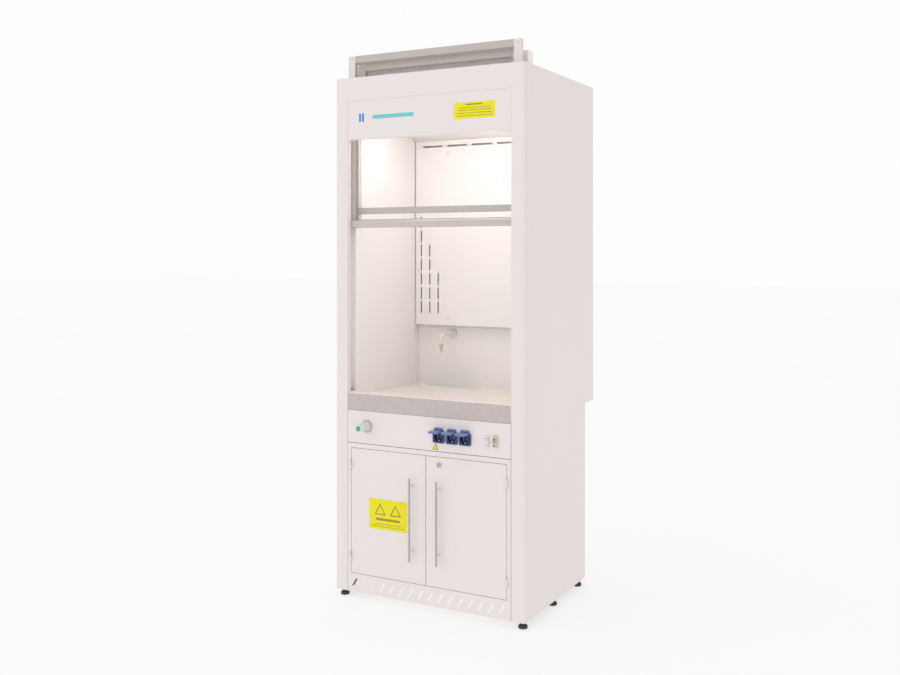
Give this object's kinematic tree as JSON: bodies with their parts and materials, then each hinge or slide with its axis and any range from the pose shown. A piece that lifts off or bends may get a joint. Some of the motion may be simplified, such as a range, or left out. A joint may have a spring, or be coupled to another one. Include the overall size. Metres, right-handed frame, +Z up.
{
  "type": "fume hood",
  "caption": "Ducted laboratory fume hood with telescoping glazed sash, ceramic worktop, cup sink, wall tap, service panel and two-door base cupboard on levelling feet.",
  "frame": {"origin": "on the floor, under the middle of the bounding box", "axes": "+Z up, +Y towards the back, +X to the right as seen from the front"},
  "size_m": [0.9, 0.82, 2.342],
  "materials": {
    "painted_steel": "light grey-white epoxy powder coat, satin",
    "chamber_lining": "white solid-core laminate, satin",
    "aluminium": "natural anodised aluminium",
    "worktop_ceramic": null,
    "white_plastic": "white moulded plastic",
    "blue_plastic": "navy blue moulded plastic",
    "pale_blue_plastic": "light blue moulded plastic",
    "grey_plastic": "grey moulded plastic",
    "dark_plastic": "black moulded plastic",
    "satin_steel": "satin steel",
    "galvanised_steel": "galvanised steel",
    "rubber": "black rubber",
    "glass": "clear toughened glass",
    "lamp_white": "white lamp with warm-white tube",
    "cast_iron": "raw cast iron",
    "button_plastic": "green moulded plastic"
  },
  "bodies": {
    "cabinet": {"front_frame": "painted_steel", "side_panel_left": "painted_steel", "side_panel_right": "painted_steel", "roof_panel": "painted_steel", "rear_panel": "painted_steel", "header_panel": "painted_steel", "lamp_housing": "painted_steel", "exhaust_collar": "painted_steel", "control_panel": "painted_steel", "door_surround": "painted_steel", "sash_guide_left": "painted_steel", "sash_guide_right": "painted_steel", "inner_wall_left": "chamber_lining", "inner_wall_right": "chamber_lining", "back_wall": "chamber_lining", "chamber_ceiling": "chamber_lining", "baffle": "chamber_lining", "cabinet_floor": "chamber_lining", "cabinet_shelf": "chamber_lining", "worktop": "worktop_ceramic", "cup_sink": "white_plastic", "sink_trap": "white_plastic", "tap_body": "white_plastic", "switch_plate": "white_plastic", "socket_1": "blue_plastic", "socket_2": "blue_plastic", "socket_3": "blue_plastic", "valve_escutcheon": "grey_plastic", "breaker_body": "grey_plastic", "water_pipe": "satin_steel", "base_frame": "galvanised_steel", "foot_front_left": "rubber", "foot_front_right": "rubber", "foot_middle_left": "rubber", "foot_middle_right": "rubber", "foot_rear_left": "rubber", "foot_rear_right": "rubber", "lamp_window": "glass", "lamp_batten": "lamp_white"},
    "front_sash": {"sash_frame": "aluminium", "sash_glass": "glass", "sash_handle": "aluminium"},
    "upper_sash": {"upper_sash_frame": "aluminium", "upper_sash_glass": "glass"},
    "weight_left": {"counterweight_left": "cast_iron"},
    "weight_right": {"counterweight_right": "cast_iron"},
    "pulley_wheel_left": {"pulley_left": "white_plastic"},
    "pulley_wheel_right": {"pulley_right": "white_plastic"},
    "left_door": {"door_left": "painted_steel", "handle_left": "satin_steel"},
    "right_door": {"door_right": "painted_steel", "handle_right": "satin_steel"},
    "door_lock": {"lock_barrel": "satin_steel"},
    "water_knob": {"valve_knob": "white_plastic"},
    "lid_1": {"socket_lid_1": "pale_blue_plastic"},
    "lid_2": {"socket_lid_2": "pale_blue_plastic"},
    "lid_3": {"socket_lid_3": "pale_blue_plastic"},
    "rocker": {"switch_rocker": "white_plastic"},
    "lever": {"breaker_lever": "dark_plastic"},
    "button": {"test_button": "button_plastic"}
  },
  "joints": [
    {"name": "sash_slide", "type": "slide", "parent": "cabinet", "child": "front_sash", "axis": [0, 0, 1], "range_m": [-0.708, 0]},
    {"name": "upper_sash_slide", "type": "slide", "parent": "cabinet", "child": "upper_sash", "axis": [0, 0, 1], "range_m": [-0.354, 0]},
    {"name": "weight_left_slide", "type": "slide", "parent": "cabinet", "child": "weight_left", "axis": [0, 0, 1], "range_m": [0, 0.708]},
    {"name": "weight_right_slide", "type": "slide", "parent": "cabinet", "child": "weight_right", "axis": [0, 0, 1], "range_m": [0, 0.708]},
    {"name": "pulley_left_spin", "type": "hinge", "parent": "cabinet", "child": "pulley_wheel_left", "pos_m": [-0.43, -0.241, 2.18], "axis": [1, 0, 0], "range_deg": [0, 970]},
    {"name": "pulley_right_spin", "type": "hinge", "parent": "cabinet", "child": "pulley_wheel_right", "pos_m": [0.43, -0.241, 2.18], "axis": [1, 0, 0], "range_deg": [0, 970]},
    {"name": "door_left_hinge", "type": "hinge", "parent": "cabinet", "child": "left_door", "pos_m": [-0.3715, -0.345, 0.38], "axis": [0, 0, -1], "range_deg": [0, 110]},
    {"name": "door_right_hinge", "type": "hinge", "parent": "cabinet", "child": "right_door", "pos_m": [0.3715, -0.345, 0.38], "axis": [0, 0, 1], "range_deg": [0, 110]},
    {"name": "lock_turn", "type": "hinge", "parent": "right_door", "child": "door_lock", "pos_m": [0.063, -0.33, 0.616], "axis": [0, -1, 0], "range_deg": [0, 90]},
    {"name": "valve_knob_turn", "type": "hinge", "parent": "cabinet", "child": "water_knob", "pos_m": [-0.289, -0.37, 0.746], "axis": [0, 1, 0], "range_deg": [0, 90]},
    {"name": "socket_lid_1_hinge", "type": "hinge", "parent": "cabinet", "child": "lid_1", "pos_m": [0.063, -0.352, 0.758], "axis": [1, 0, 0], "range_deg": [0, 88]},
    {"name": "socket_lid_2_hinge", "type": "hinge", "parent": "cabinet", "child": "lid_2", "pos_m": [0.124, -0.352, 0.758], "axis": [1, 0, 0], "range_deg": [0, 88]},
    {"name": "socket_lid_3_hinge", "type": "hinge", "parent": "cabinet", "child": "lid_3", "pos_m": [0.185, -0.352, 0.758], "axis": [1, 0, 0], "range_deg": [0, 88]},
    {"name": "switch_rock", "type": "hinge", "parent": "cabinet", "child": "rocker", "pos_m": [0.283, -0.344, 0.732], "axis": [-1, 0, 0], "range_deg": [0, 8]},
    {"name": "breaker_throw", "type": "hinge", "parent": "cabinet", "child": "lever", "pos_m": [0.321, -0.343, 0.74], "axis": [-1, 0, 0], "range_deg": [0, 40]},
    {"name": "test_press", "type": "slide", "parent": "cabinet", "child": "button", "axis": [0, 1, 0], "range_m": [0, 0.002], "stiffness_N_per_m": 400}
  ],
  "couplings": [
    {"joint": "upper_sash_slide", "follows": "sash_slide", "ratio": 0.5},
    {"joint": "weight_left_slide", "follows": "sash_slide", "ratio": -1},
    {"joint": "weight_right_slide", "follows": "sash_slide", "ratio": -1},
    {"joint": "pulley_left_spin", "follows": "sash_slide", "rad_per_m": -23.809},
    {"joint": "pulley_right_spin", "follows": "sash_slide", "rad_per_m": -23.809}
  ]
}
